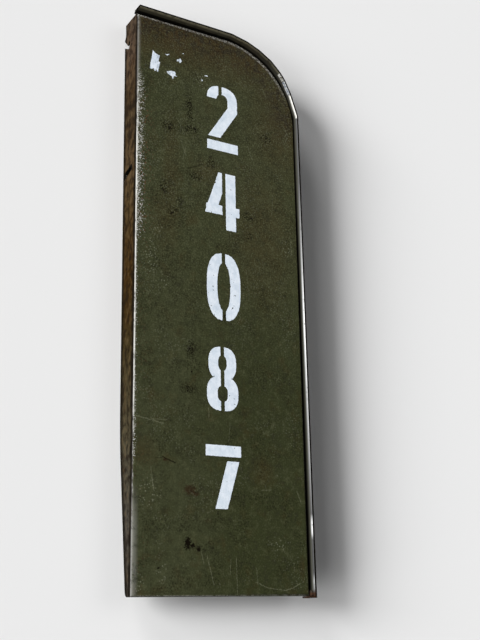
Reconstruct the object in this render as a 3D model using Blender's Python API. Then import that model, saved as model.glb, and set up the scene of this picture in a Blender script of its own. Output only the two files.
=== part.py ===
"""Blade sign of folded sheet steel, with a slotted mounting flange down its left side.

Sizes are in millimetres and become metres where a mesh is made. Every sheet is drawn in the
panel's own frame: X from the flange's outer side, Y back from the painted face, Z up from the
panel's bottom edge. The object's origin is the middle of its lowest edge, and the face looks
along -Y.
"""

import math

import bmesh
import bpy
from mathutils import Vector

MM = 0.001
CUT_OVER = 5.0

# Clearance between pieces that touch on the real sign
SEAT = 0.3

# Front panel
PANEL_WIDTH = 194.8
PANEL_HEIGHT = 602.4
CORNER_RADIUS = 88.4
CORNER_STEPS = 28
PANEL_SHEET = 1.5
PANEL_BEND = 2.6
BEND_STEPS = 4
EDGE_DEPTH = 8.0
BOTTOM_DEPTH = 9.6
BOTTOM_LIP = 12.0
EDGE_START_LEFT = 2.0
EDGE_START_LOW = 4.5

# Mounting flange, folded back along the panel's left side. Its reach is what the torn edge leaves.
FLANGE_TOP_DEPTH = 33.0
FLANGE_REACH = 32.86
FLANGE_LOW_DEPTH = 29.4
FLANGE_FOOT_DEPTH = 12.4
FLANGE_TAPER_HEIGHT = 148.0
FLANGE_TAPER_BLEND = 26.0
FLANGE_FOOT_CORNER = 5.0
FLANGE_STEPS = 8
FLANGE_RISE = 1.9
FLANGE_RISE_START = 3.6
FLANGE_RISE_ROOT = 1.0

# The lower screw slot is whole, and slants down towards the flange's back edge.
SLOT_DEPTH = 20.1
SLOT_DROP = 178.0
SLOT_SLANT = 15.8
SLOT_LENGTH = 15.4
SLOT_WIDTH = 5.6
SLOT_STEPS = 8

# The upper slot is torn open: its small front end, a gap that widens towards the flange's back
# edge, and the metal lost from that edge on up to the top, as (depth, height above the tear's tip)
TEAR_DROP = 31.2
TEAR = (
    (22.6, 0.0),
    (24.2, 0.3),
    (29.0, 3.5),
    (40.0, 10.6),
    (40.0, 36.0),
    (31.0, 36.0),
    (30.5, 22.0),
    (30.9, 18.4),
    (32.4, 16.0),
    (34.0, 15.2),
    (31.6, 12.2),
    (28.4, 8.9),
    (25.6, 5.6),
    (24.0, 5.8),
    (22.9, 8.8),
    (21.1, 9.0),
    (19.7, 6.2),
    (20.3, 2.6),
)

# Rim strip: a hemmed wall round the top, the corner and the right side
RIM_SHEET = 1.5
RIM_GAP = 2.2
RIM_TOP_GAP = 4.9
RIM_PROUD = 5.8
RIM_HEM_DEPTH = 8.2
RIM_LAP = 13.5
RIM_TAB_LENGTH = 9.0
RIM_TAB_DROP = 1.9
RIM_TAB_INSET = 0.4
RIM_HEM_STEPS = 8
RIM_BEND_STEPS = 4
# Each short flat round the corner: its slope in degrees, and its length as a share of the radius
RIM_FLATS = (
    (11, 0.224),
    (21, 0.182),
    (31, 0.198),
    (44, 0.171),
    (54, 0.118),
    (64.5, 0.182),
    (71.5, 0.299),
)
NOTCH_TIP = 1.4
NOTCH_HALF_WIDTH = 1.6
WELD_BITE = 1.0
WELD_DEPTH = 3.2
WELD_RISE = 3.8
WELD_HEIGHT = 2.2

# Rear panel and the hat sections between the two sheets
REAR_SHEET = 1.2
REAR_INSET = 1.0
REAR_FOLD_FOOT = 22.0
REAR_FOLD_TOP = 18.4
REAR_FOLD_FRONT = 3.1
REAR_FOLD_BITE = 0.4
HAT_SHEET = 1.0
HAT_WALL_SLANT = 0.8
HAT_LEFT_CLEARANCE = 2.4
HAT_RIGHT_CLEARANCE = 7.6
HAT_PLACES = {"low": 0.16, "mid": 0.5, "high": 0.82}
HAT_CROWN = 21.0
HAT_FOOT = 25.0
HAT_BRIM = 40.0
RIVET_SHANK = 3.8
RIVET_HOLE = 4.4
RIVET_HEAD = 8.0
RIVET_HEAD_HEIGHT = 1.5
RIVET_HEAD_EDGE = 0.3
RIVET_DIMPLE = 0.9
RIVET_BULGE = 1.0
RIVET_TAIL = 3.2
RIVET_COUNT = 3
RIVET_STEPS = 24
RIVET_DOME_STEPS = 6

RIM_THICKNESS = 2 * RIM_SHEET
RIM_OFFSET = RIM_GAP + RIM_THICKNESS
RIM_LAP_FRONT = EDGE_DEPTH + SEAT
RIM_LAP_BACK = RIM_LAP_FRONT + RIM_SHEET
REAR_FRONT = RIM_LAP_BACK + SEAT
REAR_BACK = REAR_FRONT + REAR_SHEET
HAT_START = PANEL_SHEET + HAT_LEFT_CLEARANCE
HAT_LENGTH = PANEL_WIDTH + RIM_GAP - RIM_LAP - HAT_RIGHT_CLEARANCE - HAT_START
OVERALL_WIDTH = PANEL_WIDTH + RIM_OFFSET
OVERALL_DEPTH = FLANGE_REACH + RIM_PROUD
PANEL_ORIGIN = Vector((-OVERALL_WIDTH / 2, RIM_PROUD - OVERALL_DEPTH / 2, RIM_TAB_DROP))

OLIVE = (0.050, 0.055, 0.028)
PRIMER = (0.055, 0.036, 0.020)
RIM_GREY = (0.085, 0.082, 0.070)
ZINC = (0.30, 0.30, 0.30)


def clear_scene():
    for old in list(bpy.data.objects):
        bpy.data.objects.remove(old, do_unlink=True)


def make_material(name, colour, roughness, metallic):
    material = bpy.data.materials.new(name)
    material.use_nodes = True
    shader = material.node_tree.nodes["Principled BSDF"]
    shader.inputs["Base Color"].default_value = (*colour, 1.0)
    shader.inputs["Roughness"].default_value = roughness
    shader.inputs["Metallic"].default_value = metallic
    material.diffuse_color = (*colour, 1.0)
    return material


def make_object(name, shape, collection, origin=PANEL_ORIGIN):
    """Turns a bmesh drawn in millimetres into an object at the given place on the sign."""
    bmesh.ops.recalc_face_normals(shape, faces=shape.faces)
    bmesh.ops.scale(shape, vec=(MM, MM, MM), verts=shape.verts)
    mesh = bpy.data.meshes.new(name)
    shape.to_mesh(mesh)
    shape.free()
    made = bpy.data.objects.new(name, mesh)
    made.location = origin * MM
    collection.objects.link(made)
    return made


def prism_shape(outline, plane, start, end):
    """Extrudes a flat outline along the axis that its plane leaves out."""
    place = {
        "XZ": lambda u, v, w: (u, w, v),
        "YZ": lambda u, v, w: (w, u, v),
    }[plane]
    shape = bmesh.new()
    near = [shape.verts.new(place(u, v, start)) for u, v in outline]
    far = [shape.verts.new(place(u, v, end)) for u, v in outline]
    shape.faces.new(near)
    shape.faces.new(far)
    for i in range(len(outline)):
        j = (i + 1) % len(outline)
        shape.faces.new((near[i], near[j], far[j], far[i]))
    return shape


def pan_shape(outline, front, back, bend):
    """A block with its front edges rounded to a sheet's bend radius."""
    shape = prism_shape(outline, "XZ", front, back)
    edges = [e for e in shape.edges if all(abs(v.co.y - front) < 1e-6 for v in e.verts)]
    bmesh.ops.bevel(
        shape,
        geom=edges,
        offset=bend,
        offset_type="OFFSET",
        segments=BEND_STEPS,
        profile=0.5,
        affect="EDGES",
    )
    return shape


def boolean(target, other, operation):
    modifier = target.modifiers.new(other.name, "BOOLEAN")
    modifier.operation = operation
    modifier.solver = "EXACT"
    modifier.object = other


def cut(target, cutter):
    boolean(target, cutter, "DIFFERENCE")


def join(target, addition):
    boolean(target, addition, "UNION")


def arc(centre, radius, start, end, steps):
    """Points along an arc, with its angles in degrees."""
    points = []
    for i in range(steps + 1):
        angle = math.radians(start + (end - start) * i / steps)
        points.append((centre[0] + radius * math.cos(angle), centre[1] + radius * math.sin(angle)))
    return points


def box_outline(left, low, right, high):
    return [(left, low), (right, low), (right, high), (left, high)]


def panel_outline(inset):
    """Front view of the panel: square but for the large round corner at the top right."""
    centre = (PANEL_WIDTH - CORNER_RADIUS, PANEL_HEIGHT - CORNER_RADIUS)
    corner = arc(centre, CORNER_RADIUS - inset, 0, 90, CORNER_STEPS)
    foot = [(inset, inset), (PANEL_WIDTH - inset, inset)]
    return foot + corner + [(inset, PANEL_HEIGHT - inset)]


def blended(before, corner, after, length, steps):
    """Eases a corner of an outline over the given length on both sides."""
    before, corner, after = Vector(before), Vector(corner), Vector(after)
    start = corner + (before - corner).normalized() * length
    end = corner + (after - corner).normalized() * length
    points = []
    for i in range(steps + 1):
        t = i / steps
        point = start * (1 - t) ** 2 + corner * 2 * t * (1 - t) + end * t**2
        points.append((point.x, point.y))
    return points


def flange_outline():
    """Side view of the mounting flange, as (depth, height): narrower downwards, with a tapered foot."""
    top = PANEL_HEIGHT + FLANGE_RISE
    root = PANEL_HEIGHT - FLANGE_RISE_ROOT
    knee = (FLANGE_LOW_DEPTH, FLANGE_TAPER_HEIGHT)
    foot = (FLANGE_FOOT_DEPTH, 0.0)
    outline = [(PANEL_BEND, 0.0)]
    outline += blended((PANEL_BEND, 0.0), foot, knee, FLANGE_FOOT_CORNER, FLANGE_STEPS)
    outline += blended(foot, knee, (FLANGE_TOP_DEPTH, top), FLANGE_TAPER_BLEND, FLANGE_STEPS)
    outline += [(FLANGE_TOP_DEPTH, top), (FLANGE_RISE_START, top)]
    outline += [(FLANGE_RISE_START, root), (PANEL_BEND, root)]
    return outline


def slot_outline():
    """Side view of the lower slot, as (depth, height): two half circles on a slanted middle line."""
    slant = math.radians(SLOT_SLANT)
    reach = (SLOT_LENGTH - SLOT_WIDTH) / 2
    back, down = reach * math.cos(slant), reach * math.sin(slant)
    middle = (SLOT_DEPTH, PANEL_HEIGHT - SLOT_DROP)
    front_end = (middle[0] - back, middle[1] + down)
    back_end = (middle[0] + back, middle[1] - down)
    outline = arc(front_end, SLOT_WIDTH / 2, 90 - SLOT_SLANT, 270 - SLOT_SLANT, SLOT_STEPS)
    return outline + arc(back_end, SLOT_WIDTH / 2, -90 - SLOT_SLANT, 90 - SLOT_SLANT, SLOT_STEPS)


def build_front_panel(parts, cutters):
    outside = pan_shape(panel_outline(0.0), 0.0, BOTTOM_DEPTH, PANEL_BEND)
    panel = make_object("front_panel", outside, parts)
    inside = pan_shape(
        panel_outline(PANEL_SHEET), PANEL_SHEET, BOTTOM_DEPTH + CUT_OVER, PANEL_BEND - PANEL_SHEET
    )
    cut(panel, make_object("cut_panel_inside", inside, cutters))

    # The edge folded round the top, corner and right side is shallower than the bottom one.
    trim = prism_shape(
        box_outline(
            EDGE_START_LEFT, EDGE_START_LOW, PANEL_WIDTH + CUT_OVER, PANEL_HEIGHT + CUT_OVER
        ),
        "XZ",
        EDGE_DEPTH,
        BOTTOM_DEPTH + CUT_OVER,
    )
    cut(panel, make_object("cut_panel_edge", trim, cutters))

    flange = prism_shape(flange_outline(), "YZ", 0.0, PANEL_SHEET)
    join(panel, make_object("add_flange", flange, cutters))

    lip = prism_shape(
        box_outline(RIM_LAP_FRONT, PANEL_SHEET / 2, RIM_LAP_BACK, BOTTOM_LIP),
        "YZ",
        PANEL_SHEET / 2,
        PANEL_WIDTH - PANEL_SHEET / 2,
    )
    join(panel, make_object("add_bottom_lip", lip, cutters))

    slot = prism_shape(slot_outline(), "YZ", -CUT_OVER, CUT_OVER)
    cut(panel, make_object("cut_slot", slot, cutters))
    tip = PANEL_HEIGHT - TEAR_DROP
    torn = prism_shape([(depth, tip + up) for depth, up in TEAR], "YZ", -CUT_OVER, CUT_OVER)
    cut(panel, make_object("cut_torn_edge", torn, cutters))
    return panel


def rim_path():
    """Front view of the rim strip's outer side, from its top left end round to its foot."""
    top = PANEL_HEIGHT + RIM_TOP_GAP + RIM_THICKNESS
    right = PANEL_WIDTH + RIM_OFFSET
    radius = CORNER_RADIUS + RIM_OFFSET
    run = sum(radius * share * math.cos(math.radians(slope)) for slope, share in RIM_FLATS)
    path = [(0.0, top), (right - run, top)]
    for slope, share in RIM_FLATS:
        x, z = path[-1]
        angle = math.radians(slope)
        length = radius * share
        path.append((x + length * math.cos(angle), z - length * math.sin(angle)))
    path.append((path[-1][0], -RIM_TAB_DROP))
    return [Vector(point) for point in path]


def inward_directions(path):
    """At each point of the path, the way that a mitred bend moves for each millimetre inwards."""
    normals = []
    for a, b in zip(path, path[1:]):
        along = (b - a).normalized()
        normals.append(Vector((along.y, -along.x)))
    ways = [normals[0]]
    for first, second in zip(normals, normals[1:]):
        middle = (first + second).normalized()
        ways.append(middle / middle.dot(first))
    return ways + [normals[-1]]


def rim_profile():
    """Cross-section as (distance inwards, depth): hemmed front edge, and a lap folded inwards behind."""
    hem = arc((RIM_SHEET, RIM_SHEET - RIM_PROUD), RIM_SHEET, 180, 360, RIM_HEM_STEPS)
    bend = arc((RIM_THICKNESS, RIM_LAP_FRONT), RIM_SHEET, 90, 170, RIM_BEND_STEPS)
    tip = RIM_THICKNESS + NOTCH_TIP
    edge = RIM_THICKNESS + RIM_LAP
    lap = [
        (RIM_THICKNESS, RIM_LAP_FRONT),
        (tip, RIM_LAP_FRONT),
        (edge, RIM_LAP_FRONT),
        (edge, RIM_LAP_BACK),
        (tip, RIM_LAP_BACK),
    ]
    return [(0.0, RIM_HEM_DEPTH)] + hem + lap + bend + [(RIM_SHEET, RIM_HEM_DEPTH)]


def rim_shape():
    """The profile swept round the path with mitred bends. At each bend the lap has a V notch, so that
    its free edge parts there and the strip can be folded round the corner."""
    path = rim_path()
    ways = inward_directions(path)
    profile = rim_profile()
    free = [i for i, (inward, _) in enumerate(profile) if inward == RIM_THICKNESS + RIM_LAP]
    tips = (free[0] - 1, free[-1] + 1)
    shape = bmesh.new()

    def corner(bend, part, shift):
        inward, depth = profile[part]
        place = path[bend] + ways[bend] * inward + shift
        return shape.verts.new((place.x, depth, place.y))

    # Each bend has one ring of points, but two of the lap's free edge: before it and after it.
    before, after = [], []
    for bend in range(len(path)):
        ring = {i: corner(bend, i, Vector((0, 0))) for i in range(len(profile)) if i not in free}
        sides = []
        for neighbour in (bend - 1, bend + 1):
            shift = Vector((0, 0))
            if 0 < bend < len(path) - 1:
                shift = (path[neighbour] - path[bend]).normalized() * NOTCH_HALF_WIDTH
            sides.append(ring | {i: corner(bend, i, shift) for i in free})
        before.append(sides[0])
        after.append(sides[1])

    count = len(profile)
    for near, far in zip(after, before[1:]):
        for i in range(count):
            j = (i + 1) % count
            shape.faces.new((near[i], near[j], far[j], far[i]))
    for side in before[1:] + after[:-1]:
        shape.faces.new([side[i] for i in (tips[0], *free, tips[1])])
    rest = [i for i in range(count) if i not in free]
    shape.faces.new([after[0][i] for i in rest])
    shape.faces.new([before[-1][i] for i in rest])
    bmesh.ops.delete(shape, geom=[v for v in shape.verts if not v.link_faces], context="VERTS")
    return shape


def build_rim_strip(parts, cutters):
    rim = make_object("rim_strip", rim_shape(), parts)

    # The lap stops short of the mounting flange and of the panel's bottom lip.
    step = 0.05
    left_end = prism_shape(
        box_outline(
            -CUT_OVER,
            PANEL_HEIGHT - 2 * RIM_LAP,
            PANEL_SHEET + 4 * SEAT,
            PANEL_HEIGHT + RIM_TOP_GAP - step,
        ),
        "XZ",
        RIM_LAP_FRONT - SEAT / 2,
        RIM_LAP_BACK + CUT_OVER,
    )
    cut(rim, make_object("cut_lap_left", left_end, cutters))
    low_end = prism_shape(
        box_outline(
            PANEL_WIDTH - 2 * RIM_LAP, -CUT_OVER, PANEL_WIDTH + RIM_GAP - step, BOTTOM_LIP + 3 * SEAT
        ),
        "XZ",
        RIM_LAP_FRONT - SEAT / 2,
        RIM_LAP_BACK + CUT_OVER,
    )
    cut(rim, make_object("cut_lap_low", low_end, cutters))

    # The foot is turned in under the panel, and a weld bead closes the corner above it.
    right = PANEL_WIDTH + RIM_OFFSET
    foot = prism_shape(
        box_outline(right - RIM_TAB_LENGTH, -RIM_TAB_DROP, right - RIM_TAB_INSET, -SEAT),
        "XZ",
        RIM_TAB_INSET - RIM_PROUD,
        RIM_HEM_DEPTH - RIM_TAB_INSET,
    )
    join(rim, make_object("add_foot", foot, cutters))
    bead = bmesh.new()
    bmesh.ops.create_uvsphere(bead, u_segments=12, v_segments=8, radius=1.0)
    half = (RIM_GAP - SEAT + WELD_BITE) / 2
    bmesh.ops.scale(bead, vec=(half, WELD_DEPTH, WELD_RISE), verts=bead.verts)
    bmesh.ops.translate(bead, vec=(PANEL_WIDTH + SEAT + half, 2 * SEAT, WELD_HEIGHT), verts=bead.verts)
    join(rim, make_object("add_weld", bead, cutters))
    return rim


def rear_outline():
    """Front view of the rear panel: it follows the rim strip, just inside its outer side."""
    path = rim_path()
    ways = inward_directions(path)
    edge = [point + way * REAR_INSET for point, way in zip(path, ways)]
    left = PANEL_SHEET + 2 * SEAT
    low = SEAT
    outline = [(left, low), (edge[-1].x, low)]
    outline += [(point.x, point.y) for point in reversed(edge[1:-1])]
    return outline + [(left, edge[0].y)]


def rivet_places():
    """(x, z) of each rivet, by the hat section that it holds."""
    middle = HAT_START + HAT_LENGTH / 2
    pitch = HAT_LENGTH / RIVET_COUNT
    places = {}
    for name, share in HAT_PLACES.items():
        height = PANEL_HEIGHT * share
        places[name] = []
        for i in range(RIVET_COUNT):
            across = middle + pitch * (i - (RIVET_COUNT - 1) / 2)
            places[name].append((across, height))
    return places


def rivet_hole(name, across, height, cutters):
    outline = arc((across, height), RIVET_HOLE / 2, 0, 360 - 360 / RIVET_STEPS, RIVET_STEPS - 1)
    hole = prism_shape(outline, "XZ", REAR_FRONT - CUT_OVER, REAR_BACK + CUT_OVER)
    return make_object(name, hole, cutters)


def build_rear_panel(parts, cutters):
    sheet = prism_shape(rear_outline(), "XZ", REAR_FRONT, REAR_BACK)
    rear = make_object("rear_panel", sheet, parts)
    left = PANEL_SHEET + SEAT
    fold = prism_shape(
        box_outline(
            REAR_FOLD_FRONT,
            REAR_FOLD_FOOT,
            REAR_BACK - REAR_FOLD_BITE,
            PANEL_HEIGHT - REAR_FOLD_TOP,
        ),
        "YZ",
        left,
        left + REAR_SHEET,
    )
    join(rear, make_object("add_rear_fold", fold, cutters))
    for name, places in rivet_places().items():
        for number, (across, height) in enumerate(places, 1):
            cut(rear, rivet_hole(f"hole_rear_{name}_{number}", across, height, cutters))
    return rear


def hat_outline():
    """Side view of a hat section, as (depth, height) from its own middle line."""
    front = PANEL_SHEET + SEAT
    back = RIM_LAP_BACK
    crown = HAT_CROWN / 2
    foot = HAT_FOOT / 2
    brim = HAT_BRIM / 2
    inner = HAT_SHEET * HAT_WALL_SLANT
    return [
        (front + HAT_SHEET, -brim),
        (front + HAT_SHEET, -foot),
        (back, -crown),
        (back, crown),
        (front + HAT_SHEET, foot),
        (front + HAT_SHEET, brim),
        (front, brim),
        (front, foot - inner),
        (back - HAT_SHEET, crown - inner),
        (back - HAT_SHEET, inner - crown),
        (front, inner - foot),
        (front, -brim),
    ]


def build_stiffeners(parts, cutters):
    made = []
    for name, share in HAT_PLACES.items():
        outline = [(depth, PANEL_HEIGHT * share + up) for depth, up in hat_outline()]
        hat = make_object(
            f"stiffener_{name}", prism_shape(outline, "YZ", HAT_START, HAT_START + HAT_LENGTH), parts
        )
        for number, (across, up) in enumerate(rivet_places()[name], 1):
            cut(hat, rivet_hole(f"hole_hat_{name}_{number}", across, up, cutters))
        made.append(hat)
    return made


def rivet_profile():
    """Half section of a blind rivet, as (radius, depth), from its head to its bulged end."""
    head = RIVET_HEAD / 2
    shank = RIVET_SHANK / 2
    seat = REAR_BACK + SEAT
    top = seat + RIVET_HEAD_HEIGHT
    inner = RIM_LAP_BACK - HAT_SHEET - SEAT
    edge = seat + RIVET_HEAD_EDGE
    dome = []
    for i in range(RIVET_DOME_STEPS):
        angle = math.radians(90 * i / RIVET_DOME_STEPS)
        dome.append((head * math.cos(angle), edge + (top - edge) * math.sin(angle)))
    dimple = [(0.0, top - RIVET_DIMPLE), (RIVET_DIMPLE, top - RIVET_DIMPLE)]
    bulge = [
        (shank, seat),
        (shank, inner),
        (shank + RIVET_BULGE, inner - RIVET_BULGE / 2),
        (shank + RIVET_BULGE, inner - RIVET_TAIL / 2),
        (shank, inner - RIVET_TAIL),
        (0.0, inner - RIVET_TAIL),
    ]
    return dimple + dome[::-1] + [(head, seat)] + bulge


def build_rivets(parts):
    made = []
    for name, places in rivet_places().items():
        for number, (across, height) in enumerate(places, 1):
            shape = bmesh.new()
            profile = rivet_profile()
            first = shape.verts.new((0.0, profile[0][1], 0.0))
            last = shape.verts.new((0.0, profile[-1][1], 0.0))
            rings = []
            for radius, depth in profile[1:-1]:
                ring = []
                for i in range(RIVET_STEPS):
                    angle = 2 * math.pi * i / RIVET_STEPS
                    place = (radius * math.cos(angle), depth, radius * math.sin(angle))
                    ring.append(shape.verts.new(place))
                rings.append(ring)
            for i in range(RIVET_STEPS):
                j = (i + 1) % RIVET_STEPS
                shape.faces.new((first, rings[0][i], rings[0][j]))
                shape.faces.new((last, rings[-1][j], rings[-1][i]))
                for near, far in zip(rings, rings[1:]):
                    shape.faces.new((near[i], far[i], far[j], near[j]))
            origin = PANEL_ORIGIN + Vector((across, 0.0, height))
            rivet = make_object(f"rivet_{name}_{number}", shape, parts, origin)
            for face in rivet.data.polygons:
                face.use_smooth = True
            made.append(rivet)
    return made


def main():
    clear_scene()
    parts = bpy.data.collections.new("blade_sign")
    cutters = bpy.data.collections.new("cutters")
    bpy.context.scene.collection.children.link(parts)
    bpy.context.scene.collection.children.link(cutters)
    cutters.hide_render = True

    panel = build_front_panel(parts, cutters)
    rim = build_rim_strip(parts, cutters)
    rear = build_rear_panel(parts, cutters)
    hats = build_stiffeners(parts, cutters)
    rivets = build_rivets(parts)

    finishes = [
        ([panel], make_material("olive_paint", OLIVE, 0.42, 0.0)),
        ([rim], make_material("rim_steel", RIM_GREY, 0.38, 0.6)),
        ([rear], make_material("rear_paint", OLIVE, 0.5, 0.0)),
        (hats, make_material("primer", PRIMER, 0.7, 0.0)),
        (rivets, make_material("zinc_rivet", ZINC, 0.4, 0.9)),
    ]
    for objects, material in finishes:
        for piece in objects:
            piece.data.materials.append(material)

    sign = bpy.data.objects.new("blade_sign_frame", None)
    parts.objects.link(sign)
    for piece in [panel, rim, rear] + hats + rivets:
        piece.parent = sign
    for cutter in cutters.objects:
        cutter.hide_render = True
        cutter.display_type = "WIRE"


main()
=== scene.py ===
"""A blade sign of folded sheet steel in worn olive enamel, with plain stencilled numbers on its face.

Lengths named in millimetres are turned into metres where a mesh is made. Across and up are measured
from the lower left corner of the painted face, and depth runs back from it.
"""

import math

import bmesh
import bpy
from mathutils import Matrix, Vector, noise


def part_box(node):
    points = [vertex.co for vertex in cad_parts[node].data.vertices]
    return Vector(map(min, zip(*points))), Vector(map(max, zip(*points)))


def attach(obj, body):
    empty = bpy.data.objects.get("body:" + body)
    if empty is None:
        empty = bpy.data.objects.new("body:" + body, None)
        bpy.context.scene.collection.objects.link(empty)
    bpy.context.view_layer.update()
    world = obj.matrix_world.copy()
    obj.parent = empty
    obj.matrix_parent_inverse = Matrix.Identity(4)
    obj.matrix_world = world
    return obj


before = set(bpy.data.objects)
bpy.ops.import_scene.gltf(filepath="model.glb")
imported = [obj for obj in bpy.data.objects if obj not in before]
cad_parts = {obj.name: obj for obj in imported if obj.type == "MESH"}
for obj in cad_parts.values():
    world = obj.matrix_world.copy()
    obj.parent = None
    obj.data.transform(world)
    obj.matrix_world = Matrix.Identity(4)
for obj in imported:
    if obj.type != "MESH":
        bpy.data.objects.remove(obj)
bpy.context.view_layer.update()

MM = 0.001

# Front panel
# One sheet of steel, folded back all round. Its long left fold is the mounting flange. It is sprayed
# with olive enamel, which hands and weather have worn off the folds down to bright metal. A painted
# highlight and a painted sheen lie on the left fold, and painted shade darkens the flange, its back
# edge, the slot's surround and the cut walls behind the face.
panel_low, panel_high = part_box("front_panel")
FACE_DEPTH = panel_low.y
FACE_FOOT = panel_low.z
FACE_LEFT = panel_low.x
FACE_HEIGHT = 602.4
FACE_WIDTH = 194.8
CORNER_RADIUS = 88.4
TAPER_TOP = 148.0
FLANGE_TOP = 604.0
# How deep the flange is at its foot and where its taper ends, and what it gains from there to the top
FLANGE_AT_FOOT = 11.0
FLANGE_AT_TAPER = 28.6
FLANGE_GAIN = 3.4
SMOOTH_BELOW = math.radians(35)


def shade(red, green, blue):
    """A colour as it looks on screen, from 0 to 255, made linear."""
    levels = []
    for level in (red, green, blue):
        level /= 255
        levels.append(level / 12.92 if level <= 0.04045 else ((level + 0.055) / 1.055) ** 2.4)
    return tuple(levels)


def add(tree, kind, inputs=None, **settings):
    """Adds a shader node. Each input is a value, or the output of another node."""
    made = tree.nodes.new("ShaderNode" + kind)
    for name, value in settings.items():
        setattr(made, name, value)
    for name, value in (inputs or {}).items():
        socket = made.inputs[name]
        if isinstance(value, bpy.types.NodeSocket):
            tree.links.new(value, socket)
        else:
            socket.default_value = value
    return made


def maths(tree, operation, *values):
    return add(tree, "Math", dict(enumerate(values)), operation=operation).outputs[0]


def product(tree, *values):
    result = values[0]
    for value in values[1:]:
        result = maths(tree, "MULTIPLY", result, value)
    return result


def most(tree, *values):
    result = values[0]
    for value in values[1:]:
        result = maths(tree, "MAXIMUM", result, value)
    return result


def fade(tree, value, start, end):
    """0 up to start, 1 from end on, and smooth between them. End may be the lower one."""
    made = add(
        tree,
        "MapRange",
        {"Value": value, "From Min": start, "From Max": end},
        interpolation_type="SMOOTHSTEP",
    )
    return made.outputs["Result"]


def band(tree, value, low, high, soft):
    """1 between low and high, fading out over soft on both sides."""
    rise = fade(tree, value, low - soft, low)
    fall = fade(tree, value, high + soft, high)
    return maths(tree, "MULTIPLY", rise, fall)


def blend(tree, share, under, over):
    """A colour mixed from two others, by the share of the second."""
    made = tree.nodes.new("ShaderNodeMix")
    made.data_type = "RGBA"
    for socket, value in ((made.inputs[0], share), (made.inputs[6], under), (made.inputs[7], over)):
        if isinstance(value, bpy.types.NodeSocket):
            tree.links.new(value, socket)
        elif isinstance(value, tuple):
            socket.default_value = (*value, 1.0)
        else:
            socket.default_value = value
    return made.outputs[2]


def graded(tree, value, longest, stops):
    """A colour or a level that changes along a length, from its (place, colour or level) stops."""
    ramp = add(tree, "ValToRGB", {"Fac": maths(tree, "DIVIDE", value, longest)})
    elements = ramp.color_ramp.elements
    for _ in stops[2:]:
        elements.new(0.5)
    for stop, (place, tint) in zip(elements, stops):
        stop.position = place / longest
        stop.color = (*tint, 1.0) if isinstance(tint, tuple) else (tint, tint, tint, 1.0)
    return ramp.outputs["Color"]


def grain(tree, place, size, detail=4.0, rough=0.55, stretch=(1, 1, 1), shift=0.0):
    """Noise from 0 to 1, whose lumps are about the given size in millimetres."""
    scaled = add(
        tree,
        "Mapping",
        {"Vector": place, "Location": (shift, shift, shift), "Scale": tuple(1 / s for s in stretch)},
    )
    made = add(
        tree,
        "TexNoise",
        {"Vector": scaled.outputs[0], "Scale": 1 / size, "Detail": detail, "Roughness": rough},
    )
    return made.outputs["Fac"]


def dots(tree, place, spacing, radius, shift=0.0):
    """Small round marks strewn about the given spacing apart, 0 at the radius and 1 near the middle."""
    moved = add(tree, "Mapping", {"Vector": place, "Location": (shift, shift, shift)})
    made = add(tree, "TexVoronoi", {"Vector": moved.outputs[0], "Scale": 1 / spacing})
    return fade(tree, made.outputs["Distance"], radius / spacing, 0.3 * radius / spacing)


def patch(tree, place, uneven, across, up, wide, tall, soft, ragged):
    """1 inside an oval on the face with ragged edges, 0 outside it. Depth doesn't matter."""
    flat = add(
        tree,
        "Mapping",
        {
            "Vector": place,
            "Location": (-across / wide, 0.0, -up / tall),
            "Scale": (1 / wide, 0.0, 1 / tall),
        },
    )
    far = add(tree, "VectorMath", {0: flat.outputs[0]}, operation="LENGTH").outputs["Value"]
    far = maths(tree, "MULTIPLY_ADD", uneven, ragged, far)
    return fade(tree, far, 1.0 + soft, 1.0 - soft)


def patches(tree, place, uneven, ovals, soft=0.35, ragged=2.2):
    """All of them in turn, each added to the ones before, so that few values are held at a time."""
    result = 0.0
    for oval in ovals:
        result = maths(tree, "MAXIMUM", result, patch(tree, place, uneven, *oval, soft, ragged))
    return result


def scratch(tree, place, uneven, start, end, width, strength):
    """A thin line on the face from start to end, each given as (across, up)."""
    start, end = Vector(start), Vector(end)
    along = (end - start).normalized()
    length = (end - start).length
    sideways = Vector((-along.y, along.x))
    ways = []
    for way in (along, sideways):
        dot = add(tree, "VectorMath", {0: place, 1: (way.x, 0.0, way.y)}, operation="DOT_PRODUCT")
        ways.append(maths(tree, "SUBTRACT", dot.outputs["Value"], start.dot(way)))
    off = maths(tree, "ABSOLUTE", maths(tree, "MULTIPLY_ADD", uneven, 3.0, ways[1]))
    line = fade(tree, off, width, 0.2 * width)
    return product(tree, line, band(tree, ways[0], 0.0, length, length * 0.12), strength)


def scratches(tree, place, uneven, lines):
    result = 0.0
    for line in lines:
        result = maths(tree, "MAXIMUM", result, scratch(tree, place, uneven, *line))
    return result


def start_finish(name):
    """A new material. Returns it with its node tree, its shader, and the place in millimetres."""
    material = bpy.data.materials.new(name)
    material.use_nodes = True
    tree = material.node_tree
    shader = tree.nodes["Principled BSDF"]
    coordinates = add(tree, "TexCoord")
    origin = (-FACE_LEFT / MM, -FACE_DEPTH / MM, -FACE_FOOT / MM)
    place = add(
        tree,
        "Mapping",
        {"Vector": coordinates.outputs["Object"], "Location": origin, "Scale": (1 / MM,) * 3},
    )
    return material, tree, shader, place.outputs[0]


def connect(tree, shader, **inputs):
    names = {
        "colour": "Base Color",
        "roughness": "Roughness",
        "metallic": "Metallic",
        "gloss": "Specular IOR Level",
    }
    for name, value in inputs.items():
        tree.links.new(value, shader.inputs[names[name]])


def raise_surface(tree, shader, height, distance, under=None):
    """Bump, with its greatest height in millimetres."""
    inputs = {"Height": height, "Distance": distance * MM}
    if under is not None:
        inputs["Normal"] = under
    made = add(tree, "Bump", inputs)
    tree.links.new(made.outputs[0], shader.inputs["Normal"])
    return made.outputs[0]


def facing(tree, way):
    """How far the surface looks in a direction, from -1 to 1."""
    normal = add(tree, "NewGeometry").outputs["Normal"]
    return add(tree, "VectorMath", {0: normal, 1: way}, operation="DOT_PRODUCT").outputs["Value"]


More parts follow.
